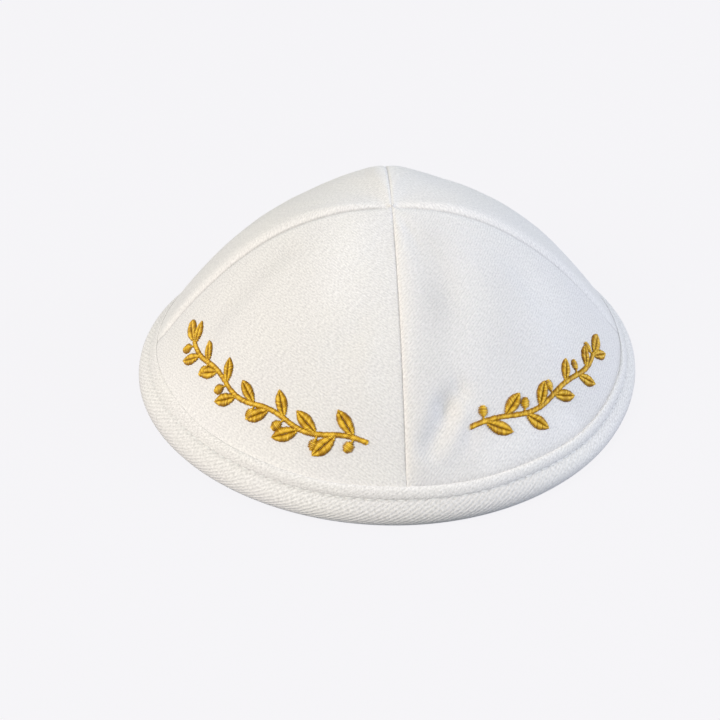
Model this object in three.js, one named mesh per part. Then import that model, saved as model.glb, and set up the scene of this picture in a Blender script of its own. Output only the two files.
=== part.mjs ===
// A four-gore cloth skullcap with a folded binding sewn round its rim.
// Millimetres, +Z up. The cap rests on its rim at z = 0, its front seam faces -Y
// and the origin is on the resting surface under the middle of the rim.
// Angles run round the cap from the front seam and are positive towards +X.
// A share runs down the crown, from 0 at the apex to 1 at its lower edge.
import * as THREE from 'three';
import { mergeVertices } from 'three/addons/utils/BufferGeometryUtils.js';

// Crown
const crownWidth = 169.6;
const crownDepth = 164;
const crownHeight = 59.3;
const crownRoundness = 2.24;
const crownLift = 3.2;

// Cloth and seams
const clothWall = 1.4;
const seamGap = 0.3;
const seamRoll = 1.5;
const seamRollDepth = 0.3;
const allowanceWidth = 6;
const allowanceWall = 0.8;

// Binding
const bindingHeight = 10.3;
const bindingFullness = 1.7;
const bindingTape = 1.1;
const bindingClearance = 0.3;

// Folds
const foldDepth = 1.4;

const clothColour = 0xf1f0ec;
const bindingColour = 0xeeede8;
const clothRoughness = 0.92;

// How far the plan of the rim is from a plain oval: waves round it, as shares of its radius
const PLAN_WAVES = [
  { wave: 'skew', times: 2, peakDegrees: -32, share: 0.017 },
  { wave: 'squeeze', times: 3, peakDegrees: 16, share: 0.0128 },
];

// Where the crown stands fuller or flatter than a plain dome, as shares of its height.
// "once" swells mid-way down, "twice" swells above the middle and flattens below it.
const FULLNESS = [
  { place: 'front to back', once: -0.068, twice: -0.0085 },
  { place: 'left to right', once: -0.004, twice: 0 },
  { place: 'front panels', once: 0.007, twice: 0.007 },
  { place: 'back panels', once: -0.032, twice: -0.0105 },
];

// Dents and ridges in the cloth, each along a straight line in plan. Its start and end are
// an angle in degrees and a share down the crown, its width is a share of half the crown's
// width and its depth a share of foldDepth, negative for a dent.
const FOLDS = [
  { fold: 'upper front right valley', start: [15, 0.73], end: [7, 0.77], width: 0.03, depth: -0.6 },
  { fold: 'front right valley', start: [7, 0.77], end: [4, 0.87], width: 0.035, depth: -0.8 },
  { fold: 'upper front right ridge', start: [18, 0.77], end: [10, 0.8], width: 0.03, depth: 0.4 },
  { fold: 'front right ridge', start: [10, 0.8], end: [6, 0.88], width: 0.035, depth: 0.6 },
  { fold: 'second front right valley', start: [14, 0.84], end: [12, 0.9], width: 0.03, depth: -0.4 },
  { fold: 'upper right hollow', start: [31, 0.27], end: [20, 0.46], width: 0.055, depth: -0.5 },
  { fold: 'left hollow', start: [-73, 0.44], end: [-69, 0.78], width: 0.055, depth: -0.6 },
  { fold: 'front left dimple', start: [-17, 0.54], end: [-22, 0.61], width: 0.06, depth: -0.3 },
  { fold: 'front left swell', start: [-11, 0.6], end: [-11, 0.7], width: 0.05, depth: 0.25 },
  { fold: 'far right hollow', start: [68, 0.55], end: [62, 0.8], width: 0.08, depth: -0.4 },
  { fold: 'back hollow', start: [150, 0.4], end: [158, 0.75], width: 0.1, depth: -0.4 },
];

// The binding's section, once round it: how far it stands off the crown's outer face, in
// shares of bindingFullness outside and of bindingTape inside, and its height in shares of
// bindingHeight. The two "floor" rows are the flat underside.
const BINDING_OUTSIDE = [
  { row: 'lip top', off: 0.3, height: 1 },
  { row: 'lip', off: 0.6, height: 0.945 },
  { row: 'below lip', off: 0.61, height: 0.82 },
  { row: 'above groove', off: 0.46, height: 0.73 },
  { row: 'stitch groove', off: 0.3, height: 0.69 },
  { row: 'below groove', off: 0.56, height: 0.63 },
  { row: 'swell', off: 0.81, height: 0.54 },
  { row: 'belly', off: 1, height: 0.43 },
  { row: 'below belly', off: 0.85, height: 0.3 },
  { row: 'turn under', off: 0.39, height: 0.16 },
  { row: 'hem', off: -0.25, height: 0.05 },
  { row: 'floor', off: -0.85, height: 0 },
];
const BINDING_INSIDE = [
  { row: 'floor', off: 0.7, height: 0 },
  { row: 'turn up', off: 1, height: 0.1 },
  { row: 'inner leg', off: 1.15, height: 0.45 },
  { row: 'inner groove', off: 0.85, height: 0.69 },
  { row: 'inner lip', off: 1, height: 0.83 },
  { row: 'inner top', off: 0.5, height: 0.88 },
];
const bindingSwing = -0.107;

// Mesh density
const rowsDown = 18;
const columnsBetweenAllowances = 16;
const bindingSteps = 84;

const quarterTurn = Math.PI / 2;
const crownRadius = crownWidth / 2;
const rimSlope = Math.atan2(crownRoundness * crownHeight, crownRadius);
const edgeRun = 1 / Math.sin(rimSlope);

const PANELS = [
  { node: 'panel_front_right', fromSeam: 0 },
  { node: 'panel_back_right', fromSeam: quarterTurn },
  { node: 'panel_back_left', fromSeam: 2 * quarterTurn },
  { node: 'panel_front_left', fromSeam: 3 * quarterTurn },
];

const radians = THREE.MathUtils.degToRad;

// Plan radius of a ring round the crown, drawn in from its lower edge by "inset"
function planRadius(angle, inset) {
  const across = Math.sin(angle) / (crownWidth / 2 - inset);
  const along = Math.cos(angle) / (crownDepth / 2 - inset);
  let wave = 1;
  for (const { times, peakDegrees, share } of PLAN_WAVES) {
    wave += share * Math.cos(times * (angle - radians(peakDegrees)));
  }
  return wave / Math.hypot(across, along);
}

// How much each row of FULLNESS counts at an angle: panels swell between their seams
function fullnessWeights(angle) {
  const betweenSeams = Math.sin(2 * angle) ** 2;
  const front = Math.cos(angle) > 0;
  return [Math.cos(angle), Math.sin(angle), front ? betweenSeams : 0, front ? 0 : betweenSeams];
}

// Height of the crown's face; "inset" lowers it for the inner face
function crownLevel(angle, share, inset) {
  const weights = fullnessWeights(angle);
  let swell = 0;
  FULLNESS.forEach(({ once, twice }, i) => {
    swell += weights[i] * (once * Math.sin(Math.PI * share) + twice * Math.sin(2 * Math.PI * share));
  });
  const dome = (crownHeight - inset) * (1 - share ** crownRoundness);
  return crownLift + dome + crownHeight * swell;
}

// A place on the crown seen from above, in shares of its radius
function inPlan(angle, share) {
  return new THREE.Vector2(share * Math.sin(angle), -share * Math.cos(angle));
}

// Depth of the folds at a place, smooth across each fold and dying out past its ends
function foldRelief(angle, share) {
  const here = inPlan(angle, share);
  let relief = 0;
  for (const { start, end, width, depth } of FOLDS) {
    const from = inPlan(radians(start[0]), start[1]);
    const along = inPlan(radians(end[0]), end[1]).sub(from);
    const t = THREE.MathUtils.clamp(here.clone().sub(from).dot(along) / along.lengthSq(), 0, 1);
    const off = here.distanceTo(from.addScaledVector(along, t)) / width;
    relief += depth * foldDepth * Math.exp(-off * off);
  }
  const clearOfBinding = THREE.MathUtils.smoothstep(1 - share, bindingShare, 2 * bindingShare);
  return relief * clearOfBinding;
}

// The share of the crown's run that the binding covers
const bindingShare = (bindingHeight * (1 - bindingSwing)) / (crownRoundness * crownHeight);

// A point of the crown's outer face moved in by "inset", with its folds
function crownPoint(angle, share, inset, relief) {
  const radius = planRadius(angle, inset * edgeRun) * share;
  const slope = Math.atan2(crownRoundness * crownHeight * share ** (crownRoundness - 1), crownRadius);
  const out = radius + relief * Math.sin(slope);
  const up = crownLevel(angle, share, inset) + relief * Math.cos(slope);
  return new THREE.Vector3(out * Math.sin(angle), -out * Math.cos(angle), up);
}

// Plan radius of the crown's outer face at a height near the rim
function radiusAtHeight(angle, height) {
  let high = 0.6;
  let low = 1.3;
  for (let i = 0; i < 30; i += 1) {
    const middle = (high + low) / 2;
    if (crownLevel(angle, middle, 0) > height) high = middle;
    else low = middle;
  }
  return planRadius(angle, 0) * high;
}

function solidFrom(vertices, triangles) {
  const geometry = new THREE.BufferGeometry();
  const positions = new Float32Array(vertices.flatMap((v) => [v.x, v.y, v.z]));
  geometry.setAttribute('position', new THREE.BufferAttribute(positions, 3));
  geometry.setIndex(triangles);
  const merged = mergeVertices(geometry, 1e-4);
  merged.computeVertexNormals();
  return merged;
}

// Distances of the columns from a seam: the rolled edge, then the pressed-open allowance
const seamColumns = [0, seamRoll / 2, seamRoll, allowanceWidth, allowanceWidth + allowanceWall];

// Fractions across a panel for the columns of one row, whose arc is "width" long
function columnFractions(width) {
  const reach = seamColumns[seamColumns.length - 1];
  const squeeze = Math.min(1, width / (3 * reach));
  const near = seamColumns.map((distance) => (distance * squeeze) / width);
  const last = near[near.length - 1];
  const middle = [];
  for (let i = 1; i < columnsBetweenAllowances; i += 1) {
    middle.push(last + ((1 - 2 * last) * i) / columnsBetweenAllowances);
  }
  return [...near, ...middle, ...near.map((f) => 1 - f).reverse()];
}

// A gore: an outer and an inner sheet of rows, closed along both seams and the lower edge
function panelGeometry(fromSeam) {
  const tip = (seamGap / 2) / Math.sin(quarterTurn / 2);
  const middleAngle = fromSeam + quarterTurn / 2;
  const tipPlan = new THREE.Vector2(tip * Math.sin(middleAngle), -tip * Math.cos(middleAngle));
  const vertices = [];
  const triangles = [];
  const columns = columnFractions(1).length;

  const sheetRow = (share, inner) => {
    const width = Math.max(share, 1e-3) * crownRadius * quarterTurn;
    return columnFractions(width).map((fraction) => {
      const edgeTurn = Math.asin(seamGap / 2 / planRadius(fromSeam, 0));
      const angle = fromSeam + edgeTurn + (quarterTurn - 2 * edgeTurn) * fraction;
      const fromEdge = Math.min(fraction, 1 - fraction) * width;
      const roll = seamRollDepth * (1 - THREE.MathUtils.smoothstep(fromEdge, 0, seamRoll));
      const pastAllowance = THREE.MathUtils.smoothstep(
        fromEdge, allowanceWidth, allowanceWidth + allowanceWall,
      );
      const aboveBinding = THREE.MathUtils.smoothstep(1 - share, bindingShare, 1.5 * bindingShare);
      const inset = inner ? clothWall + allowanceWall * (1 - pastAllowance) * aboveBinding : 0;
      const relief = foldRelief(angle, share) - (inner ? 0 : roll);
      const point = crownPoint(angle, share, inset, relief);
      point.x += tipPlan.x * (1 - share);
      point.y += tipPlan.y * (1 - share);
      return point;
    });
  };

  for (const inner of [false, true]) {
    const base = vertices.length;
    const apex = sheetRow(0, inner)[0];
    vertices.push(apex);
    for (let row = 1; row <= rowsDown; row += 1) vertices.push(...sheetRow(row / rowsDown, inner));
    const face = (a, b, c) => triangles.push(...(inner ? [a, c, b] : [a, b, c]));
    const at = (row, column) => (row === 0 ? base : base + 1 + (row - 1) * columns + column);
    for (let row = 0; row < rowsDown; row += 1) {
      for (let column = 0; column < columns - 1; column += 1) {
        face(at(row, column), at(row + 1, column), at(row + 1, column + 1));
        if (row > 0) face(at(row, column), at(row + 1, column + 1), at(row, column + 1));
      }
    }
  }

  const innerBase = vertices.length / 2;
  const rim = (row, column) => (row === 0 ? 0 : 1 + (row - 1) * columns + column);
  const wall = (a, b) => triangles.push(a, innerBase + a, innerBase + b, a, innerBase + b, b);
  for (let row = 0; row < rowsDown; row += 1) {
    wall(rim(row, 0), rim(row + 1, 0));
    wall(rim(row + 1, columns - 1), rim(row, columns - 1));
  }
  for (let column = 0; column < columns - 1; column += 1) {
    wall(rim(rowsDown, column), rim(rowsDown, column + 1));
  }
  return solidFrom(vertices, triangles);
}

// The binding's section at one angle, as plan radii and heights, once round it
function bindingSection(angle) {
  const height = bindingHeight * (1 + bindingSwing * Math.sin(angle));
  const clearance = bindingClearance * edgeRun;
  const innerFace = -(clothWall * edgeRun + clearance);
  const slotFloor = crownLift - 2 * bindingClearance;
  const point = (off, level) => ({ radius: radiusAtHeight(angle, level) + off, level });
  return [
    point(clearance, 0.97 * height),
    ...BINDING_OUTSIDE.map((row) => point(row.off * bindingFullness, row.height * height)),
    ...BINDING_INSIDE.map((row) => point(innerFace - row.off * bindingTape, row.height * height)),
    point(innerFace, 0.84 * height),
    point(innerFace, slotFloor),
    point(clearance, slotFloor),
  ];
}

function bindingGeometry() {
  const vertices = [];
  const triangles = [];
  let sides = 0;
  for (let step = 0; step < bindingSteps; step += 1) {
    const angle = (2 * Math.PI * step) / bindingSteps;
    const section = bindingSection(angle);
    sides = section.length;
    for (const { radius, level } of section) {
      vertices.push(new THREE.Vector3(radius * Math.sin(angle), -radius * Math.cos(angle), level));
    }
  }
  for (let step = 0; step < bindingSteps; step += 1) {
    for (let side = 0; side < sides; side += 1) {
      const a = step * sides + side;
      const b = step * sides + ((side + 1) % sides);
      const c = ((step + 1) % bindingSteps) * sides + ((side + 1) % sides);
      const d = ((step + 1) % bindingSteps) * sides + side;
      triangles.push(a, b, c, a, c, d);
    }
  }
  return solidFrom(vertices, triangles);
}

const clothMaterial = new THREE.MeshStandardMaterial({
  color: clothColour, roughness: clothRoughness, metalness: 0,
});
const bindingMaterial = new THREE.MeshStandardMaterial({
  color: bindingColour, roughness: clothRoughness, metalness: 0,
});

const kippah = new THREE.Group();
for (const { node, fromSeam } of PANELS) {
  const panel = new THREE.Mesh(panelGeometry(fromSeam), clothMaterial.clone());
  panel.name = node;
  kippah.add(panel);
}
const binding = new THREE.Mesh(bindingGeometry(), bindingMaterial);
binding.name = 'rim_binding';
kippah.add(binding);

// The origin goes under the middle of the rim
const rimMiddle = new THREE.Box3().setFromObject(binding).getCenter(new THREE.Vector3());
for (const piece of kippah.children) piece.position.set(-rimMiddle.x, -rimMiddle.y, 0);

export default kippah;
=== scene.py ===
"""A white twill skullcap: four gores, a folded bias binding and gold satin-stitch sprigs.

The solids set every place and size. This script dresses them: each gore becomes a fine
cloth shell with rolled seams and folds, the binding a soft rolled tape with its topstitch,
and the embroidery a few hundred separate threads lying on the cloth.

Lengths are in millimetres until a mesh gets its points, which are in metres. Angles run
round the cap from the front seam, positive towards +X, and a share runs down the crown from
0 at the apex to 1 at its lower edge.
"""

import math

import bpy
import numpy as np
from mathutils import Matrix, Vector


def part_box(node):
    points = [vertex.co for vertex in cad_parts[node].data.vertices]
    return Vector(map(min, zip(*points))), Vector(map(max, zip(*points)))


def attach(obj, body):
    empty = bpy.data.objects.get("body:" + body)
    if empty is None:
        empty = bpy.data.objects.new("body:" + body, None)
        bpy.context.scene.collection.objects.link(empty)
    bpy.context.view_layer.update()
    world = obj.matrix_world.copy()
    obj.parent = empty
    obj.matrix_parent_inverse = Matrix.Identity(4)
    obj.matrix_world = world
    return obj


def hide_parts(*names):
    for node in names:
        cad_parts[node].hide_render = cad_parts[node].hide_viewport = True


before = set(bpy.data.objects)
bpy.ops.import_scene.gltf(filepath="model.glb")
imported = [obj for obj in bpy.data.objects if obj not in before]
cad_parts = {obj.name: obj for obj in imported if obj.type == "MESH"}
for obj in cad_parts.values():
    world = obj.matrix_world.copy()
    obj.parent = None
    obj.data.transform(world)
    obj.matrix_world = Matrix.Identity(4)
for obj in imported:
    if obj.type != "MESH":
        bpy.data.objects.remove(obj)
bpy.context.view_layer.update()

MM = 0.001

# Crown, as in the solids
CROWN_WIDTH = 169.6
CROWN_DEPTH = 164.0
CROWN_HEIGHT = 59.3
CROWN_ROUNDNESS = 2.24
CROWN_LIFT = 3.2
CROWN_RADIUS = CROWN_WIDTH / 2
RIM_LENGTH = math.pi * (CROWN_WIDTH + CROWN_DEPTH) / 2

# Length along the cloth at the rim for each millimetre of height, and how far the wall is
# through when it is measured level
EDGE_RUN = 1 / math.sin(math.atan2(CROWN_ROUNDNESS * CROWN_HEIGHT, CROWN_RADIUS))

# Cloth and seams: the cloth's wall and its gap at a seam, the roll of its edge, how soon it
# rises from the seam, and the pressed-open allowance on its inner face
CLOTH_WALL = 1.4
SEAM_GAP = 0.01
SEAM_ROLL = 0.16
LIP_RISE = 1.2
ALLOWANCE_WIDTH = 6.0
ALLOWANCE_WALL = 0.8

# Each seam, by its angle in degrees: how far the cloth stands up over its allowance on the
# side before it and on the side past it, the depth and half-width of the valley between,
# and how wide the raised cloth is and how far it takes to fall again
SEAM_FORMS = {
    0: (0.05, 1.00, 0.20, 0.45, 3.5, 13.5),
    90: (0.10, 0.50, 0.75, 1.6, 4.0, 9.0),
    180: (0.20, 0.40, 0.25, 0.5, 4.0, 9.0),
    270: (0.50, 0.10, 0.75, 1.6, 4.0, 9.0),
}

# Share of light that the plain cloth and the tape send back
PLAIN_WHITE = 0.93
TAPE_WHITE = 0.95

# Painted light and shade at each seam, by its angle in degrees: the painted highlight that makes
# its raised doubled cloth whiter on the side before it and past it, and the painted shade in its crease
PAINTED_SHADING_AT_SEAMS = {
    0: (0.0, 0.035, 0.0),
    90: (0.03, 0.05, 0.16),
    180: (0.03, 0.05, 0.0),
    270: (0.035, 0.04, 0.24),
}

# Widths of the painted shade down a side seam's crease, towards the front and towards the back
CREASE_WIDTH_TO_FRONT = 1.3
CREASE_WIDTH_TO_BACK = 0.4

# Binding: its height and how much lower it is on the right, how far its outer and its inner
# side stand off the cloth, and, as shares of its height, where it meets the crown and where
# its stitch line runs
BINDING_HEIGHT = 10.3
BINDING_SWING = -0.107
BINDING_FULLNESS = 1.7
BINDING_TAPE = 1.1
CREASE_HEIGHT = 0.985
STITCH_LINE = 0.69
BINDING_SHARE = BINDING_HEIGHT * (1 - BINDING_SWING) / (CROWN_ROUNDNESS * CROWN_HEIGHT)

# Waves round the rim's plan: times round, angle of a peak in degrees, share of its radius
PLAN_WAVES = (
    (2, -32.0, 0.017),
    (3, 16.0, 0.0128),
)

# Fuller and flatter places of the crown, as shares of its height: "once" swells half-way
# down, "twice" swells above the middle and flattens below it
FULLNESS = {
    "front to back": (-0.068, -0.0085),
    "left to right": (-0.004, 0.0),
    "front panels": (0.007, 0.007),
    "back panels": (-0.032, -0.0105),
}

# Folds along straight lines in plan: from degrees and share, to degrees and share, width as
# a share of the crown's radius and depth as a share of FOLD_DEPTH, negative for a dent
FOLD_DEPTH = 1.4
FOLDS = {
    "upper front right valley": (16.5, 0.735, 11.5, 0.775, 0.034, -0.8),
    "front right valley": (11.5, 0.775, 6, 0.87, 0.042, -1.4),
    "front right ridge": (15.5, 0.79, 9.5, 0.88, 0.042, 0.45),
    "second front right valley": (17, 0.84, 15, 0.89, 0.032, -0.4),
    "upper right hollow": (37, 0.26, 24, 0.42, 0.07, -0.25),
    "left hollow": (-73, 0.44, -69, 0.78, 0.055, -0.6),
    "front left dimple": (-17, 0.54, -22, 0.61, 0.06, -0.3),
    "front left swell": (-11, 0.60, -11, 0.70, 0.05, 0.25),
    "far right hollow": (68, 0.55, 62, 0.80, 0.08, -0.4),
    "back hollow": (150, 0.40, 158, 0.75, 0.10, -0.4),
}

# Painted shade and painted light on the crown, along lines as the folds are: width as a share of
# the crown's radius, and how much whiter
PAINTED_SHADING_ALONG_FOLDS = {
    "upper strip beside front seam": (37, 0.23, 18, 0.45, 0.08, -0.065),
    "lower strip beside front seam": (18, 0.45, 10, 0.64, 0.075, -0.06),
    "foot of front seam": (3.5, 0.74, 2.5, 0.88, 0.05, -0.03),
    "front right fold": (13, 0.745, 5, 0.85, 0.04, -0.05),
    "upper front left": (-62, 0.20, -31, 0.42, 0.10, 0.05),
    "left hollow": (-73, 0.44, -69, 0.72, 0.05, -0.045),
    "right side": (70, 0.62, 57, 0.72, 0.09, 0.03),
    "middle of right side": (52, 0.50, 36, 0.66, 0.09, -0.035),
    "foot of right side": (20, 0.905, 46, 0.915, 0.045, 0.075),
}

# Painted shade and painted light round the binding: the middle and half-width in degrees, and how
# much whiter
PAINTED_SHADING_ROUND_TAPE = {
    "front": (12, 22, -0.075),
    "front left": (-28, 16, 0.05),
    "front right": (48, 20, 0.05),
    "far left": (-95, 30, 0.035),
    "far right": (95, 30, 0.03),
}

# Gores: the angle of the seam that each starts at, in degrees, the way its ribs run and how
# plainly they show through the nap
GORES = {
    "panel_front_right": {"seam": 0.0, "rib_degrees": 112.0, "rib_share": 0.18},
    "panel_back_right": {"seam": 90.0, "rib_degrees": 112.0, "rib_share": 0.15},
    "panel_back_left": {"seam": 180.0, "rib_degrees": 86.0, "rib_share": 0.10},
    "panel_front_left": {"seam": 270.0, "rib_degrees": 86.0, "rib_share": 0.10},
}

# The place where the four seams cross, off the middle of the rim
SEAM_CROSS = np.array(
    [
        (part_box("panel_front_left")[1][0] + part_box("panel_front_right")[0][0]) / 2,
        (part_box("panel_front_left")[1][1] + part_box("panel_back_left")[0][1]) / 2,
        0.0,
    ]
) / MM


def smooth_step(value, low, high):
    t = np.clip((value - low) / (high - low), 0.0, 1.0)
    return t * t * (3 - 2 * t)


def plan_radius(angle, inset=0.0):
    """Radius in plan of the crown's lower edge: an oval with slight waves."""
    across = np.sin(angle) / (CROWN_WIDTH / 2 - inset)
    along = np.cos(angle) / (CROWN_DEPTH / 2 - inset)
    wave = 1.0
    for times, peak, share in PLAN_WAVES:
        wave = wave + share * np.cos(times * (angle - math.radians(peak)))
    return wave / np.hypot(across, along)


def crown_level(angle, share, inset=0.0):
    """Height of the crown's smooth face: a dome with fuller and flatter places."""
    front = np.cos(angle) > 0
    between_seams = np.sin(2 * angle) ** 2
    weights = {
        "front to back": np.cos(angle),
        "left to right": np.sin(angle),
        "front panels": np.where(front, between_seams, 0.0),
        "back panels": np.where(front, 0.0, between_seams),
    }
    swell = 0.0
    for place, (once, twice) in FULLNESS.items():
        wave = once * np.sin(np.pi * share) + twice * np.sin(2 * np.pi * share)
        swell = swell + weights[place] * wave
    dome = (CROWN_HEIGHT - inset) * (1 - share**CROWN_ROUNDNESS)
    return CROWN_LIFT + dome + CROWN_HEIGHT * swell


def binding_height(angle):
    """Height of the binding round the rim: lower on the right, with a slight waver."""
    waver = 0.16 * np.sin(5 * angle + 0.6) + 0.12 * np.sin(11 * angle + 2.0)
    return BINDING_HEIGHT * (1 + BINDING_SWING * np.sin(angle)) + waver


def sum_of_strokes(table, angle, share):
    """Soft strokes along straight lines in plan, added up."""
    x, y = share * np.sin(angle), -share * np.cos(angle)
    total = np.zeros_like(x)
    for from_degrees, start, to_degrees, end, width, amount in table.values():
        a, b = math.radians(from_degrees), math.radians(to_degrees)
        x0, y0 = start * math.sin(a), -start * math.cos(a)
        along = np.array([end * math.sin(b) - x0, -end * math.cos(b) - y0])
        t = np.clip(((x - x0) * along[0] + (y - y0) * along[1]) / (along @ along), 0, 1)
        off = np.hypot(x - x0 - t * along[0], y - y0 - t * along[1]) / width
        total += amount * np.exp(-(off**2))
    return total


def fold_relief(angle, share):
    """Folds and dents of the cloth, close to the solids' but a little deeper."""
    above_rim = smooth_step(1 - share, BINDING_SHARE, 2 * BINDING_SHARE)
    return sum_of_strokes(FOLDS, angle, share) * FOLD_DEPTH * above_rim


def seam_relief(angle, share):
    """The valley along each seam, and the cloth puffed up over the allowances beside it.

    It sinks to nothing where the side seams run under the tape, and to a third at the front.
    """
    relief = np.zeros_like(share)
    spread = np.minimum(share / 0.45, 1.0)
    for seam_degrees, (before, beyond, depth, width, flat, fall) in SEAM_FORMS.items():
        past = np.mod(angle - math.radians(seam_degrees) + math.pi, 2 * math.pi) - math.pi
        to_seam = CROWN_RADIUS * share * np.abs(np.sin(past))
        lip = 1 - np.exp(-to_seam / LIP_RISE)
        lip *= 1 - smooth_step(to_seam, flat * spread, (flat + fall) * np.maximum(spread, 0.01))
        lip *= np.where(past < 0, before, beyond) * smooth_step(share, 0.02, 0.16)
        valley = depth * np.exp(-((to_seam / width) ** 2))
        relief += np.where(np.abs(past) < math.pi / 4, lip - valley, 0.0)
    at_tape = 0.3 * np.cos(angle) ** 2
    return relief * (at_tape + (1 - at_tape) * smooth_step(1 - share, 0.05, 0.12))


def cloth_relief(angle, share):
    """All that lifts or sinks a gore's outer face: folds, seams and soft waves."""
    waves = 0.11 * np.sin(11 * share + 3 * np.sin(2 * angle)) * np.sin(7 * angle + 5 * share)
    waves += 0.06 * np.sin(23 * share + 9 * angle) * np.sin(17 * angle - 8 * share)
    waves *= smooth_step(share, 0.05, 0.3) * smooth_step(1 - share, 0.06, 0.16)
    return fold_relief(angle, share) + seam_relief(angle, share) + waves


def painted_light_and_shade_over_tape(angle, share):
    """Painted light and shade just over the binding: painted light on the left, and on the right
    painted shade down into the crease."""
    right = smooth_step(np.sin(angle), -0.5, 0.4)
    # Painted light along the cloth's lower edge on the left
    hem = smooth_step(share, 0.86, 0.90) * 0.03 * (1 - right)
    above_tape = (crown_level(angle, share) - binding_height(angle) * CREASE_HEIGHT) * EDGE_RUN
    above_tape = np.maximum(above_tape, 0.0)
    # Painted shade in the crease on the right, and painted light on the left, where the amount is
    # negative
    shaded = (0.09 * right - 0.02) * np.exp(-((above_tape / 1.5) ** 2))
    shaded += 0.12 * right * np.exp(-((above_tape / 0.7) ** 2))
    return hem - shaded


def crown_white_with_painted_light(angle, share):
    """How white the twill is, with painted light and shade at the seams, folds and binding."""
    white_with_painted_light = np.full_like(share, PLAIN_WHITE)
    for seam_degrees, (before, beyond, painted_crease_shade) in PAINTED_SHADING_AT_SEAMS.items():
        past = np.mod(angle - math.radians(seam_degrees) + math.pi, 2 * math.pi) - math.pi
        to_seam = CROWN_RADIUS * share * np.abs(np.sin(past))
        near = np.abs(past) < math.pi / 4
        # Painted light on the raised doubled cloth beside the seam, and painted shade down its crease
        painted_lip_light = np.where(past < 0, before, beyond) * (1 - smooth_step(to_seam, 1.5, 5.0))
        towards_front = (past < 0) == (seam_degrees < 180)
        width = np.where(towards_front, CREASE_WIDTH_TO_FRONT, CREASE_WIDTH_TO_BACK)
        dark = painted_crease_shade * np.exp(-((to_seam / width) ** 2)) * smooth_step(share, 0.01, 0.07)
        white_with_painted_light += np.where(near, painted_lip_light - dark, 0.0)
    # Painted shade and painted light along the folds and just over the binding
    white_with_painted_light += sum_of_strokes(PAINTED_SHADING_ALONG_FOLDS, angle, share) + painted_light_and_shade_over_tape(angle, share)
    return np.minimum(white_with_painted_light, 1.0)


def crown_point(angle, share, inset=0.0, relief=0.0):
    """A point of the crown; "inset" goes into the cloth, "relief" lifts it square to its face."""
    radius = plan_radius(angle, inset * EDGE_RUN) * share
    steep = CROWN_ROUNDNESS * CROWN_HEIGHT * share ** (CROWN_ROUNDNESS - 1)
    slope = np.arctan2(steep, CROWN_RADIUS)
    out = radius + relief * np.sin(slope)
    level = crown_level(angle, share, inset) + relief * np.cos(slope)
    return np.stack([out * np.sin(angle), -out * np.cos(angle), level], axis=-1)


def radius_at_level(angle, level):
    """Plan radius of the crown's outer face at a height near the rim."""
    high, low = np.full_like(level, 0.6), np.full_like(level, 1.3)
    for _ in range(30):
        middle = (high + low) / 2
        above = crown_level(angle, middle) > level
        high, low = np.where(above, middle, high), np.where(above, low, middle)
    return plan_radius(angle) * high


# Working with objects and meshes


def deselect_all():
    bpy.ops.object.select_all(action="DESELECT")


def name_it(piece, name):
    piece.name = name
    piece.data.name = name
    return piece


def points_of(piece):
    points = np.empty(len(piece.data.vertices) * 3)
    piece.data.vertices.foreach_get("co", points)
    return points.reshape(-1, 3)


def set_points(piece, millimetres):
    """Gives a mesh its final points; the seam crossing is off the middle of the rim."""
    metres = (millimetres + SEAM_CROSS) * MM
    piece.data.vertices.foreach_set("co", metres.ravel())
    piece.data.update()


def set_uv(piece, uv, wrap=None):
    """Stores cloth coordinates in metres, one pair a vertex, opened where they wrap round."""
    mesh = piece.data
    layer = mesh.uv_layers.get("cloth") or mesh.uv_layers.new(name="cloth")
    corner = np.empty(len(mesh.loops), dtype=np.int32)
    mesh.loops.foreach_get("vertex_index", corner)
    spread = uv[corner] * MM
    if wrap:
        start = np.empty(len(mesh.polygons), dtype=np.int32)
        total = np.empty(len(mesh.polygons), dtype=np.int32)
        mesh.polygons.foreach_get("loop_start", start)
        mesh.polygons.foreach_get("loop_total", total)
        face = np.repeat(np.arange(len(total)), total)
        highest = np.maximum.reduceat(spread[:, 0], start)
        behind = highest[face] - spread[:, 0] > wrap * MM / 2
        spread[behind, 0] += wrap * MM
    layer.data.foreach_set("uv", spread.ravel())
    mesh.uv_layers.active = layer


def set_shares(piece, name, values):
    """Keeps one number at each point, for its material: how white with its painted light and shade, how
    ribbed.
    """
    share = piece.data.attributes.new(name, "FLOAT", "POINT")
    share.data.foreach_set("value", values)


def finish_piece(piece, material, smooth_degrees):
    piece.data.materials.clear()
    piece.data.materials.append(material)
    deselect_all()
    piece.select_set(True)
    bpy.context.view_layer.objects.active = piece
    bpy.ops.object.shade_smooth_by_angle(angle=math.radians(smooth_degrees))
    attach(piece, "root")


# Materials


def linear(hex_colour):
    """A hex sRGB colour as the linear RGBA that shaders take."""
    channels = [int(hex_colour[i : i + 2], 16) / 255 for i in (1, 3, 5)]
    return [c / 12.92 if c <= 0.04045 else ((c + 0.055) / 1.055) ** 2.4 for c in channels] + [1.0]


def new_material(name):
    material = bpy.data.materials.new(name)
    material.use_nodes = True
    material.node_tree.nodes.clear()
    return material


def add_node(material, kind, settings=None, inputs=None):
    """Adds a node; an input that is a socket is linked, anything else is set."""
    tree = material.node_tree
    node = tree.nodes.new(kind)
    for key, value in (settings or {}).items():
        setattr(node, key, value)
    for key, value in (inputs or {}).items():
        if isinstance(value, bpy.types.NodeSocket):
            tree.links.new(value, node.inputs[key])
        else:
            node.inputs[key].default_value = value
    return node


def mix_colour(material, factor, low, high, blend="MIX"):
    settings = {"data_type": "RGBA", "blend_type": blend}
    return add_node(material, "ShaderNodeMix", settings, {0: factor, 6: low, 7: high}).outputs[2]


def math_of(material, operation, *values):
    return add_node(
        material, "ShaderNodeMath", {"operation": operation}, dict(enumerate(values))
    ).outputs[0]


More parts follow.
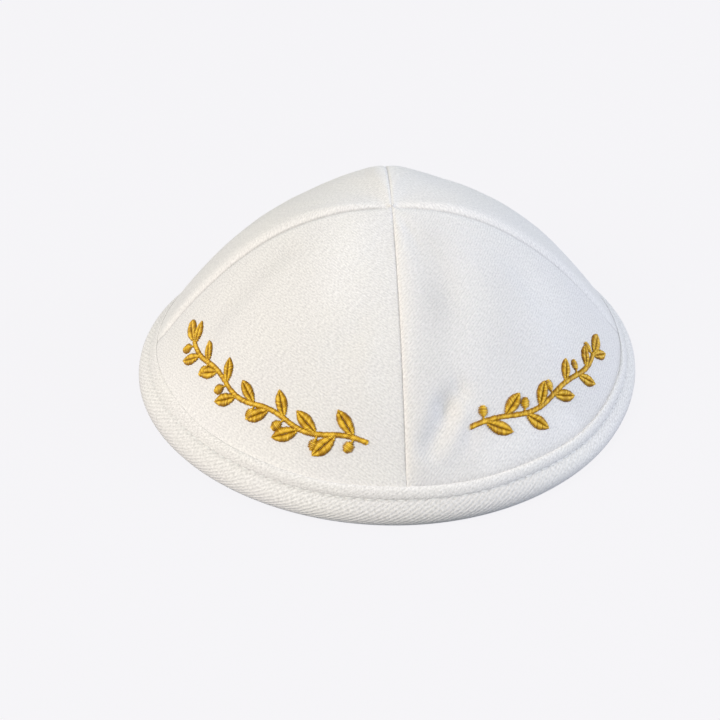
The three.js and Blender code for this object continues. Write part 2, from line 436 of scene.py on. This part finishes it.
# The nap's grain: its contrast, and how far its tufts are drawn out along the ribs. The real
# tufts are too fine to show, so they are drawn about 0.4 mm wide. The ribs keep their size.
NAP_CONTRAST = 3.2
NAP_DRAWN = 0.5
NAP_SCALE = 2.3


def twill_cloth(name, rib_degrees, rib_share, rib_pitch, rib_depth, nap_depth, crest, groove):
    """Brushed cotton twill, piece-dyed white.

    Diagonal ribs that a light nap half hides, matt with a faint sheen at grazing angles.
    The nap's tufts catch more or less light, which gives the cloth its fine grain, and a
    slight mottle shows where the nap lies differently. "crest" and "groove" are the colours
    on top of a rib and between two.
    """
    material = new_material(name)
    uv = add_node(material, "ShaderNodeUVMap", {"uv_map": "cloth"}).outputs[0]
    turned = add_node(
        material,
        "ShaderNodeMapping",
        {"vector_type": "POINT"},
        {"Vector": uv, "Rotation": (0, 0, math.radians(rib_degrees)), "Scale": (1 / MM,) * 3},
    ).outputs[0]
    axes = add_node(material, "ShaderNodeSeparateXYZ", {}, {0: turned})
    wander = add_node(
        material, "ShaderNodeTexNoise", {}, {"Vector": turned, "Scale": 0.35, "Detail": 2.0}
    ).outputs[0]
    across = math_of(material, "MULTIPLY", axes.outputs[0], 2 * math.pi / rib_pitch)
    across = math_of(material, "MULTIPLY_ADD", wander, 3.0, across)
    rib = math_of(material, "SINE", across)
    along = math_of(material, "MULTIPLY", axes.outputs[1], 2 * math.pi / (1.3 * rib_pitch))
    along = math_of(material, "MULTIPLY_ADD", across, 0.5, along)
    yarn = math_of(material, "SINE", along)
    weave = math_of(material, "MULTIPLY_ADD", yarn, 0.2, rib)
    shown = add_node(material, "ShaderNodeAttribute", {"attribute_name": "ribs"}).outputs["Fac"]
    weave = math_of(material, "MULTIPLY", weave, shown)
    combed = add_node(
        material, "ShaderNodeMapping", {}, {"Vector": turned, "Scale": (1.0, NAP_DRAWN, 1.0)}
    ).outputs[0]
    tufts = {"Vector": combed, "Scale": NAP_SCALE, "Detail": 2.0, "Roughness": 0.7}
    nap = add_node(material, "ShaderNodeTexNoise", {}, tufts).outputs[0]
    height = math_of(material, "MULTIPLY", weave, rib_depth / 2)
    height = math_of(material, "MULTIPLY_ADD", nap, nap_depth * 2, height)
    bump = add_node(
        material, "ShaderNodeBump", {}, {"Strength": 1.0, "Distance": MM, "Height": height}
    ).outputs[0]
    grain = math_of(material, "MULTIPLY_ADD", nap, NAP_CONTRAST, 0.5 - NAP_CONTRAST / 2)
    level = math_of(material, "MULTIPLY_ADD", weave, rib_share, grain)
    shade = mix_colour(material, level, linear(groove), linear(crest))
    mottle = add_node(
        material, "ShaderNodeTexNoise", {}, {"Vector": turned, "Scale": 0.06, "Detail": 3.0}
    ).outputs[0]
    tint = mix_colour(material, mottle, linear("#fbf8fa"), linear("#fffdfb"))
    tinted = mix_colour(material, 1.0, shade, tint, "MULTIPLY")
    # The cloth's whiteness, with the painted light and shade that the points carry
    white_with_painted_light = add_node(material, "ShaderNodeAttribute", {"attribute_name": "white_with_painted_light"}).outputs["Fac"]
    cloth = mix_colour(material, 1.0, tinted, white_with_painted_light, "MULTIPLY")
    surface = add_node(
        material,
        "ShaderNodeBsdfPrincipled",
        {},
        {
            "Base Color": cloth,
            "Roughness": 0.92,
            "Specular IOR Level": 0.25,
            "Sheen Weight": 0.25,
            "Sheen Roughness": 0.5,
            "Normal": bump,
        },
    )
    add_node(material, "ShaderNodeOutputMaterial", {}, {"Surface": surface.outputs[0]})
    return material


def rayon_thread(name, dark, middle, light, roughness=0.34):
    """Viscose embroidery thread: silky, with a painted highlight along each strand's crown and painted
    shade at its ends.
    """
    material = new_material(name)
    strand = add_node(material, "ShaderNodeAttribute", {"attribute_name": "strand"}).outputs["Fac"]
    place = add_node(material, "ShaderNodeTexCoord").outputs["Object"]
    fibre = add_node(
        material, "ShaderNodeTexNoise", {}, {"Vector": place, "Scale": 2.5 / MM, "Detail": 2.0}
    ).outputs[0]
    level = math_of(material, "MULTIPLY_ADD", fibre, 0.3, strand)
    to_middle = math_of(material, "MULTIPLY_ADD", level, 2.0, -0.3)
    to_light = math_of(material, "MULTIPLY_ADD", level, 2.0, -1.3)
    low = mix_colour(material, to_middle, linear(dark), linear(middle))
    colour = mix_colour(material, to_light, low, linear(light))
    bump = add_node(
        material, "ShaderNodeBump", {}, {"Strength": 0.5, "Distance": 0.05 * MM, "Height": fibre}
    ).outputs[0]
    surface = add_node(
        material,
        "ShaderNodeBsdfPrincipled",
        {},
        {
            "Base Color": colour,
            "Roughness": roughness,
            "Specular IOR Level": 0.35,
            "Normal": bump,
        },
    )
    add_node(material, "ShaderNodeOutputMaterial", {}, {"Surface": surface.outputs[0]})
    return material


# Camera, at the photograph's viewing angle
# Its distance and its aim's height are in millimetres, and its angles in degrees.

IMAGE_PIXELS = 720
SENSOR = 36.0
CAMERA_DISTANCE = 500.0
CAMERA_ELEVATION = 33.665
CAMERA_TURN = 4.172
PIXELS_PER_MM = 2.9513
AIM_LEFT = 1.149
AIM_DOWN = 2.263
CAMERA_ROLL = 0.808
AIM_HEIGHT = 25.0


def add_camera():
    azimuth, rise = math.radians(CAMERA_TURN), math.radians(CAMERA_ELEVATION)
    target = Vector([SEAM_CROSS[0], SEAM_CROSS[1], AIM_HEIGHT]) * MM
    level = Vector((-math.sin(azimuth), -math.cos(azimuth), 0))
    back = level * math.cos(rise) + Vector((0, 0, math.sin(rise)))
    right = Vector((math.cos(azimuth), -math.sin(azimuth), 0))
    forward = -back
    up = right.cross(forward)
    yaw, pitch, roll = (math.radians(a) for a in (AIM_LEFT, AIM_DOWN, CAMERA_ROLL))
    forward, right = (
        forward * math.cos(yaw) - right * math.sin(yaw),
        right * math.cos(yaw) + forward * math.sin(yaw),
    )
    forward, up = (
        forward * math.cos(pitch) - up * math.sin(pitch),
        up * math.cos(pitch) + forward * math.sin(pitch),
    )
    right, up = (
        right * math.cos(roll) + up * math.sin(roll),
        up * math.cos(roll) - right * math.sin(roll),
    )
    data = bpy.data.cameras.new("camera")
    data.sensor_width = SENSOR
    data.lens = PIXELS_PER_MM * CAMERA_DISTANCE * SENSOR / IMAGE_PIXELS
    data.clip_start = 10 * MM
    camera = bpy.data.objects.new("camera", data)
    bpy.context.scene.collection.objects.link(camera)
    axes = Matrix((right, up, -forward)).transposed().to_4x4()
    axes.translation = target + back * CAMERA_DISTANCE * MM
    camera.matrix_world = axes
    bpy.context.scene.camera = camera


add_camera()


# Gores

# Grid steps, from beside a seam to the open cloth, and the fan that a gore's twill is cut to
# when it lies flat, in radians
FINEST_STEP = 0.06
WIDEST_STEP = 0.56
STEP_GROWTH = 1.35
FLAT_FAN = 1.2


def seam_lines():
    """Grid lines from a seam to the gore's far side, close together beside the seam."""
    reach = CROWN_RADIUS * math.pi / 4
    lines, step = [0.0], FINEST_STEP
    while lines[-1] < reach:
        lines.append(lines[-1] + step)
        step = min(WIDEST_STEP, step * STEP_GROWTH)
    return np.array(lines) / lines[-1]


def gore_sheet(seam_degrees, inner):
    """A grid whose corner becomes the gore's tip and whose two near sides lie on its seams."""
    lines = seam_lines()
    count = len(lines) - 1
    bpy.ops.mesh.primitive_grid_add(x_subdivisions=count, y_subdivisions=count, size=2)
    sheet = bpy.context.active_object
    flat = (points_of(sheet) + 1) / 2 * count
    p = lines[np.rint(flat[:, 0]).astype(int)]
    q = lines[np.rint(flat[:, 1]).astype(int)]
    share = np.maximum(p, q)
    ratio = np.minimum(p, q) / np.maximum(share, 1e-9)
    fraction = np.where(p >= q, ratio / 2, 1 - ratio / 2)
    seam = math.radians(seam_degrees)
    quarter = math.pi / 2
    edge_turn = math.asin(SEAM_GAP / 2 / plan_radius(seam))
    angle = seam + edge_turn + (quarter - 2 * edge_turn) * fraction
    nearer = np.minimum(np.sin(quarter * fraction), np.cos(quarter * fraction))
    to_seam = CROWN_RADIUS * share * nearer
    roll = SEAM_ROLL - np.sqrt(SEAM_ROLL**2 - np.clip(SEAM_ROLL - to_seam, 0, SEAM_ROLL) ** 2)
    relief = cloth_relief(angle, share)
    inset = 0.0
    if inner:
        folded = 1 - smooth_step(to_seam, ALLOWANCE_WIDTH, ALLOWANCE_WIDTH + 0.5)
        above = smooth_step(1 - share, BINDING_SHARE, 1.5 * BINDING_SHARE)
        inset = CLOTH_WALL + ALLOWANCE_WALL * folded * above
        roll = 0.0
    points = crown_point(angle, share, inset, relief - roll)
    tip = SEAM_GAP / 2 / math.sin(quarter / 2)
    middle = seam + quarter / 2
    points[:, 0] += tip * math.sin(middle) * (1 - share)
    points[:, 1] -= tip * math.cos(middle) * (1 - share)
    set_points(sheet, points)
    down = np.hypot(CROWN_RADIUS * share, CROWN_HEIGHT * share**2)
    aside = (fraction - 0.5) * FLAT_FAN
    set_uv(sheet, np.stack([down * np.sin(aside) + CROWN_RADIUS, down * np.cos(aside)], axis=-1))
    # The cloth's whiteness with its painted light and shade
    set_shares(sheet, "white_with_painted_light", crown_white_with_painted_light(angle, share))
    set_shares(sheet, "ribs", np.ones_like(share))
    return sheet


def make_gore(node, seam, rib_degrees, rib_share):
    """Two sheets, outer and inner, bridged round their edges into one cloth wall."""
    deselect_all()
    outer = gore_sheet(seam, inner=False)
    inner = gore_sheet(seam, inner=True)
    for sheet, outward in ((outer, True), (inner, False)):
        middle = sheet.data.polygons[len(sheet.data.polygons) // 2]
        if (middle.normal.z > 0) != outward:
            sheet.data.flip_normals()
    deselect_all()
    inner.select_set(True)
    outer.select_set(True)
    bpy.context.view_layer.objects.active = outer
    bpy.ops.object.join()
    bpy.ops.object.mode_set(mode="EDIT")
    bpy.ops.mesh.select_mode(type="EDGE")
    bpy.ops.mesh.select_all(action="DESELECT")
    bpy.ops.mesh.select_non_manifold()
    bpy.ops.mesh.bridge_edge_loops()
    bpy.ops.object.mode_set(mode="OBJECT")
    gore = name_it(outer, node.replace("panel", "gore"))
    material_name = f"brushed_cotton_twill_{node.removeprefix('panel_')}"
    cloth = twill_cloth(
        material_name,
        rib_degrees,
        rib_share,
        rib_pitch=0.88,
        rib_depth=0.05,
        nap_depth=0.09,
        crest="#ffffff",
        groove="#e4e4e5",
    )
    finish_piece(gore, cloth, 40)
    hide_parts(node)


# Binding

# The tape's section, round it from the top of the outer fold: how far it stands off the
# crown's outer face and its height, in shares of the binding's sizes
OUTSIDE_ROWS = (
    ("lip top", 0.36, 1.0),
    ("lip", 0.66, 0.95),
    ("below lip", 0.68, 0.83),
    ("above groove", 0.46, 0.735),
    ("stitch groove", 0.24, STITCH_LINE),
    ("below groove", 0.54, 0.635),
    ("swell", 0.81, 0.54),
    ("belly", 1.0, 0.43),
    ("below belly", 0.85, 0.30),
    ("turn under", 0.39, 0.16),
    ("hem", -0.25, 0.05),
    ("floor", -0.85, 0.0),
)
INSIDE_ROWS = (
    ("floor", 0.7, 0.0),
    ("turn up", 1.0, 0.1),
    ("inner leg", 1.15, 0.45),
    ("inner groove", 0.85, STITCH_LINE),
    ("inner lip", 1.0, 0.83),
    ("inner top", 0.5, 0.88),
)

# The bottom of the slot for the crown's edge, as a share of the binding's height, and how
# much flatter the lip lies on the left and at the back, where it shows as a soft edge
SLOT_FLOOR = 0.27
LIP_FLATTENED = 0.65

# Points round the rim and round the section, and how much closer they lie where the lip shows
BINDING_STEPS = 960
SECTION_STEPS = 54
LIP_DETAIL = 3.0

# Stitches: how far apart, how many go round the rim, and how far the tape swells between them
STITCH_PITCH = 3.3
STITCH_COUNT = round(RIM_LENGTH / STITCH_PITCH)
TAPE_PUFF = 0.10


def section_rows():
    """Stand-off in millimetres and height as a share, once round the tape."""
    inner_face = -CLOTH_WALL * EDGE_RUN
    rows = [(0.0, CREASE_HEIGHT)]
    rows += [(off * BINDING_FULLNESS, height) for _, off, height in OUTSIDE_ROWS]
    rows += [(inner_face - off * BINDING_TAPE, height) for _, off, height in INSIDE_ROWS]
    rows += [(inner_face, 0.84), (inner_face, SLOT_FLOOR)]
    rows += [(0.0, SLOT_FLOOR), (0.0, CREASE_HEIGHT - 0.05)]
    return np.array(rows)


def smooth_section(count):
    """The rows joined by a closed spline: points along it, closer where the lip shows, and
    how far along it each one is."""
    rows = section_rows()
    number = len(rows)
    fine = np.linspace(0, number, number * 24, endpoint=False)
    index = fine.astype(int)
    t = (fine - index)[:, None]
    before, here, after, beyond = (rows[(index + k) % number] for k in (-1, 0, 1, 2))
    bend = 3 * (here - after) + beyond - before
    curve = here + t / 2 * (after - before + t * (2 * before - 5 * here + 4 * after - beyond + t * bend))
    in_millimetres = curve * (1.0, BINDING_HEIGHT)
    lengths = np.hypot(*(np.roll(in_millimetres, -1, axis=0) - in_millimetres).T)
    seen = (curve[:, 0] > -0.2) & (curve[:, 1] > 0.6) & (index != number - 1)
    run = np.concatenate([[0], np.cumsum(lengths)])
    order = np.concatenate([[0], np.cumsum(lengths * np.where(seen, LIP_DETAIL, 1.0))])
    places = np.interp(np.linspace(0, order[-1], count, endpoint=False), order, run)
    closed = np.vstack([curve, curve[:1]])
    return np.stack([np.interp(places, run, closed[:, k]) for k in (0, 1)], axis=-1), places


def binding_point(angle, off, height_share, proud=0.0):
    """A point of the tape; "proud" lifts it straight out of the cap."""
    level = height_share * binding_height(angle)
    radius = radius_at_level(angle, level) + off + proud
    return np.stack([radius * np.sin(angle), -radius * np.cos(angle), level], axis=-1)


def tape_puff(angle, height_share):
    """The tape pulled in at each needle hole and swelling between, near the stitch line."""
    near = np.exp(-(((height_share - STITCH_LINE) / 0.07) ** 2))
    return TAPE_PUFF * near * np.cos(STITCH_COUNT * angle)


def tape_white_with_painted_light(angle, off, height_share):
    """The tape's whiteness: a painted highlight on its lip, painted shade in its stitch groove and on
    its underside, and painted light and shade round the rim.
    """
    # Painted highlight along the lip's top
    lip = smooth_step(height_share, 0.84, 0.95) * 0.04
    # Painted shade in the stitch groove
    groove = np.exp(-(((height_share - STITCH_LINE) / 0.035) ** 2)) * 0.10
    painted_underside_shade = np.clip(1 - height_share / 0.62, 0, 1) * 0.07
    below_groove = 1 - smooth_step(height_share, 0.60, 0.72)
    # Painted light and shade that change round the rim, below the stitch groove
    shade = np.zeros_like(angle)
    for middle, half_width, whiter in PAINTED_SHADING_ROUND_TAPE.values():
        shade += whiter * np.exp(-(((np.degrees(angle) - middle) / half_width) ** 2))
    return TAPE_WHITE + np.where(off > -0.5, lip - groove - painted_underside_shade + shade * below_groove, 0.0)


def make_binding():
    deselect_all()
    bpy.ops.mesh.primitive_torus_add(
        major_segments=BINDING_STEPS, minor_segments=SECTION_STEPS, major_radius=2, minor_radius=1
    )
    tape = name_it(bpy.context.active_object, "bias_binding")
    start = points_of(tape)
    ring = np.hypot(start[:, 0], start[:, 1])
    angle = np.arctan2(start[:, 0], -start[:, 1])
    round_tube = np.arctan2(start[:, 2], ring - 2)
    section, reach = smooth_section(SECTION_STEPS)
    place = np.rint(-round_tube / (2 * math.pi) * SECTION_STEPS).astype(int) % SECTION_STEPS
    off, height_share = section[place].T
    flattened = smooth_step(-angle, math.radians(35), math.radians(60))
    flattened += smooth_step(angle, math.radians(75), math.radians(95))
    flattened *= LIP_FLATTENED * smooth_step(height_share, STITCH_LINE, 0.78)
    off = np.where(off > 0, off * (1 - flattened), off)
    outer = off > -CLOTH_WALL / 2
    puff = np.where(outer, 1.0, -1.0) * tape_puff(angle, height_share)
    drift = 0.10 * np.sin(4 * angle + 1.0) + 0.07 * np.sin(9 * angle)
    swell = np.where(outer, drift * np.sin(np.pi * np.clip(height_share, 0, 1)), 0.0)
    set_points(tape, binding_point(angle, off + puff + swell, height_share))
    along = (angle / (2 * math.pi) + 0.5) * RIM_LENGTH
    set_uv(tape, np.stack([along, reach[place]], axis=-1), wrap=RIM_LENGTH)
    # The tape's whiteness with its painted light and shade
    set_shares(tape, "white_with_painted_light", tape_white_with_painted_light(angle, off, height_share))
    hidden_by_nap = 0.45 * smooth_step(angle, math.radians(8), math.radians(35))
    on_lip = 0.6 * smooth_step(height_share, 0.66, 0.76)
    set_shares(tape, "ribs", (1 - on_lip) * (1 - hidden_by_nap))
    deselect_all()
    tape.select_set(True)
    bpy.ops.object.mode_set(mode="EDIT")
    bpy.ops.mesh.select_all(action="SELECT")
    bpy.ops.mesh.normals_make_consistent(inside=False)
    bpy.ops.object.mode_set(mode="OBJECT")
    cloth = twill_cloth(
        "bias_cut_cotton_twill",
        rib_degrees=116.0,
        rib_share=0.20,
        rib_pitch=1.0,
        rib_depth=0.11,
        nap_depth=0.08,
        crest="#ffffff",
        groove="#dcdcdc",
    )
    finish_piece(tape, cloth, 70)
    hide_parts("rim_binding")


# Threads


def model_strand():
    """One strand, along X from -1 to 1 and 2 thick: a ball drawn out to blunt ends."""
    deselect_all()
    bpy.ops.mesh.primitive_uv_sphere_add(segments=6, ring_count=8, radius=1)
    strand = bpy.context.active_object
    points = points_of(strand)
    along = points[:, 2]
    round_it = np.hypot(points[:, 0], points[:, 1])
    fuller = np.clip(1 - np.abs(along) ** 5, 0, 1) ** 0.5 / np.maximum(round_it, 1e-6)
    fuller[round_it < 1e-4] = 0
    shaped = np.stack([along, points[:, 0] * fuller, points[:, 1] * fuller], axis=-1)
    faces = [list(face.vertices) for face in strand.data.polygons]
    bpy.data.objects.remove(strand)
    return shaped, faces


STRAND_POINTS, STRAND_FACES = model_strand()


def lay_strands(name, stitches, width, place):
    """Copies the strand along each stitch and joins the copies.

    A stitch is (x0, y0, x1, y1, lift, tone) on a flat sheet, and "place" turns points of
    that sheet and their height above it into points of the cap.
    """
    stitches = np.asarray(stitches, dtype=float)
    along, side, up = STRAND_POINTS.T
    start, end = stitches[:, None, 0:2], stitches[:, None, 2:4]
    lift, tone = stitches[:, None, 4], stitches[:, 5]
    run = end - start
    length = np.linalg.norm(run, axis=-1, keepdims=True)
    cross = np.stack([-run[..., 1], run[..., 0]], axis=-1) / np.maximum(length, 1e-6)
    t = (along[None, :] + 1) / 2
    flat = start + run * t[..., None] + cross * (side[None, :] * width / 2)[..., None]
    arch = lift * (1 - np.abs(along[None, :]) ** 2.6)
    height = arch + (up[None, :] * width * 0.4) - 0.05
    points = place(flat[..., 0].ravel(), flat[..., 1].ravel(), height.ravel())
    size = len(STRAND_POINTS)
    faces = [[v + i * size for v in face] for i in range(len(stitches)) for face in STRAND_FACES]
    mesh = bpy.data.meshes.new(name)
    mesh.from_pydata(((points + SEAM_CROSS) * MM).tolist(), [], faces)
    # Each strand's share holds its tone, painted shade at its ends and a painted highlight along its
    # crown
    strand_tone_and_painted_light = mesh.attributes.new("strand", "FLOAT", "POINT")
    painted_shade_at_ends = 1 - np.abs(along) ** 5
    painted_highlight = np.exp(-(((along + 0.15) / 0.4) ** 2))
    strand_tone_and_painted_light.data.foreach_set("value", (np.outer(0.1 + 0.5 * tone, painted_shade_at_ends) + 0.55 * painted_highlight).ravel())
    mesh.update()
    piece = bpy.data.objects.new(name, mesh)
    bpy.context.scene.collection.objects.link(piece)
    deselect_all()
    piece.select_set(True)
    bpy.context.view_layer.objects.active = piece
    bpy.ops.object.mode_set(mode="EDIT")
    bpy.ops.mesh.select_all(action="SELECT")
    bpy.ops.mesh.normals_make_consistent(inside=False)
    bpy.ops.object.mode_set(mode="OBJECT")
    return piece


# Embroidery and topstitching

# Widths of the threads, how far they arch off the cloth, how close the satin strands lie and
# how unevenly they end
TOPSTITCH_WIDTH = 0.42
TOPSTITCH_LIFT = 0.12
SATIN_WIDTH = 0.55
SATIN_LIFT = 0.55
SATIN_PITCH = 0.55
END_JITTER = 0.09

# A leafy sprig on each front gore: the band that it follows, and how many pairs of leaves
SPRIGS = {
    "gold_sprig_left": {"from": (-9, 0.845), "to": (-80, 0.80), "leaves": 13, "mirror": -1},
    "gold_sprig_right": {"from": (17, 0.825), "to": (76, 0.855), "leaves": 9, "mirror": 1},
}
LEAF_LENGTH = 10.6
LEAF_WIDTH = 5.0
LEAF_DEGREES = 42.0
BERRY_RADIUS = 1.9
BERRY_DEGREES = 70.0
BERRY_STALK = 2.6
STALK_WIDTH = 0.8
STEM_POINTS = 60
STEM_WIDTH = 2.0
STEM_LIFT = 0.3
STEM_SLANT = 58.0


def rotate(vector, degrees):
    c, s = math.cos(math.radians(degrees)), math.sin(math.radians(degrees))
    return np.array([c * vector[0] - s * vector[1], s * vector[0] + c * vector[1]])


def satin_leaf(base, way, length, width, dice):
    """Two rows of strands that meet at the midrib and lean towards the tip."""
    cross = np.array([-way[1], way[0]])
    stitches = []
    count = round(length / SATIN_PITCH)
    for k in range(count):
        t = (k + 0.5) / count
        half = width / 2 * math.sin(math.pi * t**0.85) ** 0.8
        root = base + way * length * t * 0.93
        for side in (-1, 1):
            reach = half + dice.uniform(-END_JITTER, END_JITTER)
            tip = root + cross * side * reach + way * half * 0.45
            near = root - cross * side * 0.12
            stitches.append((*near, *tip, SATIN_LIFT * (0.5 + half / width), dice.random()))
    return stitches


def satin_berry(middle, way, radius, dice):
    cross = np.array([-way[1], way[0]])
    stitches = []
    count = round(2 * radius / SATIN_PITCH)
    for k in range(count):
        off = (2 * (k + 0.5) / count - 1) * radius
        half = math.sqrt(max(radius**2 - off**2, 0.04)) + dice.uniform(-END_JITTER, END_JITTER)
        centre = middle + way * off
        stitches.append((*(centre - cross * half), *(centre + cross * half), SATIN_LIFT, dice.random()))
    return stitches


def satin_stem(path, width, dice):
    """Slanted strands across a narrow column that follows a path."""
    steps = np.linalg.norm(np.diff(path, axis=0), axis=1)
    run = np.concatenate([[0], np.cumsum(steps)])
    count = round(run[-1] / SATIN_PITCH)
    half_across = width / 2 / math.sin(math.radians(STEM_SLANT))
    stitches = []
    for k in range(count):
        at = (k + 0.5) / count * run[-1]
        here = np.array([np.interp(at, run, path[:, i]) for i in (0, 1)])
        ahead = np.array([np.interp(min(at + 0.5, run[-1]), run, path[:, i]) for i in (0, 1)])
        behind = np.array([np.interp(max(at - 0.5, 0), run, path[:, i]) for i in (0, 1)])
        way = (ahead - behind) / np.linalg.norm(ahead - behind)
        slant = rotate(way, STEM_SLANT)
        half = half_across + dice.uniform(-END_JITTER, END_JITTER)
        stitches.append((*(here - slant * half), *(here + slant * half), STEM_LIFT, dice.random()))
    return stitches


def sprig_stitches(length, leaves, mirror, dice):
    """A waving stem with leaves to either side in turn, berries between and a leaf at its tip."""
    along = np.linspace(0, length, STEM_POINTS)
    wave = 1.1 * np.sin(along / length * leaves * math.pi / 2)
    path = np.stack([along * mirror, wave], axis=-1)
    stem_end = length - LEAF_LENGTH * 0.8
    stitches = satin_stem(path[along < stem_end], STEM_WIDTH, dice)
    for k in range(leaves):
        at = stem_end * (k + 0.6) / leaves
        index = int(np.searchsorted(along, at))
        way = path[min(index + 1, STEM_POINTS - 1)] - path[index - 1]
        way = way / np.linalg.norm(way)
        side = 1 if k % 2 else -1
        scale = 1.0 - 0.22 * k / leaves
        outward = rotate(way, side * LEAF_DEGREES)
        base = path[index] + outward * 0.5
        stitches += satin_leaf(base, outward, LEAF_LENGTH * scale, LEAF_WIDTH * scale, dice)
        if k % 2 == 0:
            away = rotate(way, -side * BERRY_DEGREES)
            stalk = np.array([path[index], path[index] + away * BERRY_STALK])
            stitches += satin_stem(stalk, STALK_WIDTH, dice)
            stitches += satin_berry(path[index] + away * (BERRY_STALK + 1.0), away, BERRY_RADIUS, dice)
    tip = path[along < stem_end][-1]
    way = path[-1] - tip
    stitches += satin_leaf(tip, way / np.linalg.norm(way), LEAF_LENGTH, LEAF_WIDTH, dice)
    return stitches


def make_sprig(name, start, end, leaves, mirror, gold, dice):
    from_angle, to_angle = math.radians(start[0]), math.radians(end[0])
    middle_share = (start[1] + end[1]) / 2
    band = np.linspace(0, 1, 200)
    angles = from_angle + (to_angle - from_angle) * band
    shares = start[1] + (end[1] - start[1]) * band
    centre = crown_point(angles, shares)
    run = np.concatenate([[0], np.cumsum(np.linalg.norm(np.diff(centre, axis=0), axis=1))])
    steep = CROWN_ROUNDNESS * CROWN_HEIGHT * middle_share ** (CROWN_ROUNDNESS - 1)
    per_share = math.hypot(CROWN_RADIUS, steep)

    def place(x, y, height):
        at = np.abs(x)
        angle = np.interp(at, run, angles)
        share = np.interp(at, run, shares) - y / per_share
        return crown_point(angle, share, 0.0, cloth_relief(angle, share) + height)

    stitches = sprig_stitches(run[-1], leaves, mirror, dice)
    sprig = lay_strands(name, stitches, SATIN_WIDTH, place)
    finish_piece(sprig, gold, 80)


def make_topstitch(name, outside, thread):
    """The line of stitches that holds the binding, on its outer or its inner side."""
    inner_face = -CLOTH_WALL * EDGE_RUN
    off = 0.28 * BINDING_FULLNESS if outside else inner_face - 0.85 * BINDING_TAPE
    sign = 1.0 if outside else -1.0
    mean_radius = RIM_LENGTH / 2 / math.pi
    half = math.pi / STITCH_COUNT * 0.8 * mean_radius
    stitches = []
    for k in range(STITCH_COUNT):
        middle = 2 * math.pi * (k + 0.5) / STITCH_COUNT * mean_radius
        stitches.append((middle - half, 0.0, middle + half, 0.0, TOPSTITCH_LIFT, (k * 0.37) % 1))

    def place(x, y, height):
        height_share = STITCH_LINE + y / BINDING_HEIGHT
        return binding_point(x / mean_radius, off, height_share, sign * (height - 0.04))

    line = lay_strands(name, stitches, TOPSTITCH_WIDTH, place)
    finish_piece(line, thread, 80)


for node, facts in GORES.items():
    make_gore(node, **facts)
make_binding()

dice = np.random.default_rng(7)
# The gold's light colour shows the painted highlight, and its dark colour also the painted shade at the
# strands' ends
gold_rayon = rayon_thread("gold_rayon", "#7c4a00", "#c39205", "#ffd446")
for name, facts in SPRIGS.items():
    make_sprig(name, facts["from"], facts["to"], facts["leaves"], facts["mirror"], gold_rayon, dice)
# The cotton thread's strands carry the same painted highlight and painted end shade
cotton_thread = rayon_thread("cotton_sewing_thread", "#d6d6d6", "#e2e2e2", "#ececec", 0.8)
make_topstitch("topstitch_outside", True, cotton_thread)
make_topstitch("topstitch_inside", False, cotton_thread)


# Floor and light
# The floor's size and the lamps' places are in metres.

FLOOR_SIZE = 24.0
HORIZON_BLUR = 0.15


def backdrop_glow(name, glow, strength, paint):
    """A backdrop lit evenly from behind, as a light table is, with a little matt paint."""
    material = new_material(name)
    lit = add_node(material, "ShaderNodeEmission", {}, {0: linear(glow), 1: strength})
    matt = add_node(material, "ShaderNodeBsdfDiffuse", {}, {0: linear(paint)})
    both = add_node(material, "ShaderNodeAddShader", {}, {0: lit.outputs[0], 1: matt.outputs[0]})
    add_node(material, "ShaderNodeOutputMaterial", {}, {"Surface": both.outputs[0]})
    return material


def add_floor():
    deselect_all()
    bpy.ops.mesh.primitive_plane_add(size=FLOOR_SIZE, location=(0, 0, -0.0002))
    floor = name_it(bpy.context.active_object, "studio_floor")
    floor.data.materials.append(backdrop_glow("light_table", "#f6f5f8", 0.95, "#3a3a3a"))
    floor.visible_diffuse = False
    floor.visible_shadow = False


def add_softbox(name, place, size, watts, colour):
    data = bpy.data.lights.new(name, "AREA")
    data.shape = "DISK"
    data.size = size
    data.energy = watts
    data.color = linear(colour)[:3]
    light = bpy.data.objects.new(name, data)
    bpy.context.scene.collection.objects.link(light)
    light.location = place
    light.rotation_euler = (-Vector(place)).to_track_quat("-Z", "Y").to_euler()


def add_sky(above, below):
    """Even light, brighter above the horizon than below it."""
    world = bpy.data.worlds.new("studio")
    world.use_nodes = True
    tree = world.node_tree
    background = tree.nodes["Background"]
    way = tree.nodes.new("ShaderNodeTexCoord")
    axes = tree.nodes.new("ShaderNodeSeparateXYZ")
    rise = tree.nodes.new("ShaderNodeMapRange")
    rise.inputs[1].default_value = -HORIZON_BLUR
    rise.inputs[2].default_value = HORIZON_BLUR
    mix = tree.nodes.new("ShaderNodeMix")
    mix.data_type = "RGBA"
    mix.inputs[6].default_value = linear(below)
    mix.inputs[7].default_value = linear(above)
    tree.links.new(way.outputs["Generated"], axes.inputs[0])
    tree.links.new(axes.outputs[2], rise.inputs[0])
    tree.links.new(rise.outputs[0], mix.inputs[0])
    tree.links.new(mix.outputs[2], background.inputs[0])
    bpy.context.scene.world = world


def aimed_at_cap(azimuth, elevation, distance):
    a, e = math.radians(azimuth), math.radians(elevation)
    return Vector((math.sin(a) * math.cos(e), -math.cos(a) * math.cos(e), math.sin(e))) * distance


add_floor()
add_sky("#b6bebd", "#646c7b")
add_softbox("softbox_left", aimed_at_cap(-60, 32, 1.5), 1.0, 16.4, "#fff2e3")
add_softbox("softbox_right", aimed_at_cap(86, 24, 1.5), 0.9, 13.2, "#edefff")
bpy.context.scene.view_settings.view_transform = "Standard"
